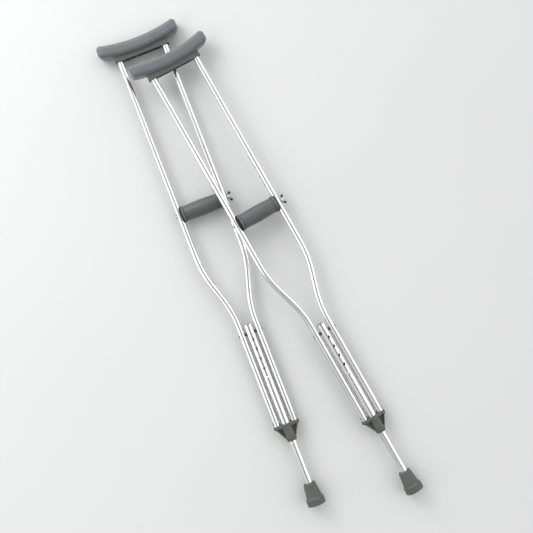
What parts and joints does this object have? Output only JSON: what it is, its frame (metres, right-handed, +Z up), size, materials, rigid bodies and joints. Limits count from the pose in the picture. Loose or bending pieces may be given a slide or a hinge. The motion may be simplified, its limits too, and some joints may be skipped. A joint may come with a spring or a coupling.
{
  "type": "underarm crutches",
  "caption": "Adjustable underarm crutches lying crossed, with padded saddles and handgrips on bowed aluminium tubes that carry body weight to telescoping, rubber-tipped legs.",
  "frame": {"origin": "on the floor, under the middle of the box round both crutches", "axes": "+Z up from the floor; +Y along the left crutch, from its tip to its cushion; +X across it, towards the right crutch's tip"},
  "size_m": [0.3632, 1.3038, 0.091],
  "materials": {
    "tube": "anodised satin silver",
    "steel": "zinc plated",
    "dark_steel": "blackened steel",
    "bracket": "moulded, dark grey",
    "spacer": "moulded, black",
    "saddle": "moulded, grey",
    "cushion": "foam rubber skin, bluish grey",
    "tip": "moulded grey rubber",
    "grip_core": "moulded",
    "grip_sleeve": "soft foam rubber, bluish grey",
    "grip_collar": "moulded, grey"
  },
  "bodies": {
    "left_frame": {"left_front_bow": "tube", "left_rear_bow": "tube", "left_centre_tube": "tube", "left_tube_bracket": "bracket", "left_cross_rivet": "steel", "left_foot_rivets": "steel", "left_tube_spacers": "spacer", "left_saddle": "saddle", "left_saddle_pins": "steel", "left_cushion": "cushion"},
    "left_leg": {"left_leg": "tube", "left_button_spring": "steel", "left_tip": "tip", "left_tip_washer": "steel"},
    "left_front_button": {"left_front_button": "steel"},
    "left_back_button": {"left_back_button": "steel"},
    "left_grip": {"left_grip_core": "grip_core", "left_grip_sleeve": "grip_sleeve", "left_grip_collars": "grip_collar", "left_grip_bolt": "steel"},
    "left_washer": {"left_grip_washer": "steel"},
    "left_wing_nut": {"left_wing_nut": "dark_steel"},
    "right_frame": {"right_front_bow": "tube", "right_rear_bow": "tube", "right_centre_tube": "tube", "right_tube_bracket": "bracket", "right_cross_rivet": "steel", "right_foot_rivets": "steel", "right_tube_spacers": "spacer", "right_saddle": "saddle", "right_saddle_pins": "steel", "right_cushion": "cushion"},
    "right_leg": {"right_leg": "tube", "right_button_spring": "steel", "right_tip": "tip", "right_tip_washer": "steel"},
    "right_front_button": {"right_front_button": "steel"},
    "right_back_button": {"right_back_button": "steel"},
    "right_grip": {"right_grip_core": "grip_core", "right_grip_sleeve": "grip_sleeve", "right_grip_collars": "grip_collar", "right_grip_bolt": "steel"},
    "right_washer": {"right_grip_washer": "steel"},
    "right_wing_nut": {"right_wing_nut": "dark_steel"}
  },
  "joints": [
    {"name": "left_leg_slide", "type": "slide", "parent": "left_frame", "child": "left_leg", "axis": [0, 1, -0.0019], "range_m": [-0.0508, 0.1016]},
    {"name": "left_front_button_press", "type": "slide", "parent": "left_leg", "child": "left_front_button", "axis": [0, -0.0019, -1], "range_m": [0, 0.0045], "stiffness_N_per_m": 1500, "springref_m": -0.002, "deforming": ["left_button_spring"]},
    {"name": "left_back_button_press", "type": "slide", "parent": "left_leg", "child": "left_back_button", "axis": [0, 0.0019, 1], "range_m": [0, 0.0045], "stiffness_N_per_m": 1500, "springref_m": -0.002, "deforming": ["left_button_spring"]},
    {"name": "left_grip_height", "type": "slide", "parent": "left_frame", "child": "left_grip", "axis": [0, 1, -0.0019], "range_m": [-0.0254, 0.127]},
    {"name": "left_nut_travel", "type": "slide", "parent": "left_grip", "child": "left_washer", "axis": [1, 0, 0], "range_m": [0, 0.008]},
    {"name": "left_nut_turn", "type": "hinge", "parent": "left_washer", "child": "left_wing_nut", "pos_m": [-0.01019, 0.19246, 0.02187], "axis": [1, 0, 0], "range_deg": [0, 2881]},
    {"name": "right_lift_off", "type": "slide", "parent": "left_frame", "child": "right_frame", "axis": [0, 0, 1], "range_m": [0, 0.2]},
    {"name": "right_leg_slide", "type": "slide", "parent": "right_frame", "child": "right_leg", "axis": [-0.1474, 0.9888, 0.0236], "range_m": [-0.0508, 0.1016]},
    {"name": "right_front_button_press", "type": "slide", "parent": "right_leg", "child": "right_front_button", "axis": [-0.1837, -0.004, -0.983], "range_m": [0, 0.0045], "stiffness_N_per_m": 1500, "springref_m": -0.002, "deforming": ["right_button_spring"]},
    {"name": "right_back_button_press", "type": "slide", "parent": "right_leg", "child": "right_back_button", "axis": [0.1837, 0.004, 0.983], "range_m": [0, 0.0045], "stiffness_N_per_m": 1500, "springref_m": -0.002, "deforming": ["right_button_spring"]},
    {"name": "right_grip_height", "type": "slide", "parent": "right_frame", "child": "right_grip", "axis": [-0.1474, 0.9888, 0.0236], "range_m": [-0.0254, 0.127]},
    {"name": "right_nut_travel", "type": "slide", "parent": "right_grip", "child": "right_washer", "axis": [0.9719, 0.1492, -0.1822], "range_m": [0, 0.008]},
    {"name": "right_nut_turn", "type": "hinge", "parent": "right_washer", "child": "right_wing_nut", "pos_m": [0.10924, 0.13721, 0.02931], "axis": [0.9719, 0.1492, -0.1822], "range_deg": [0, 2881]}
  ],
  "couplings": [
    {"joint": "left_nut_turn", "follows": "left_nut_travel", "rad_per_m": 6283.2},
    {"joint": "right_nut_turn", "follows": "right_nut_travel", "rad_per_m": 6283.2}
  ]
}
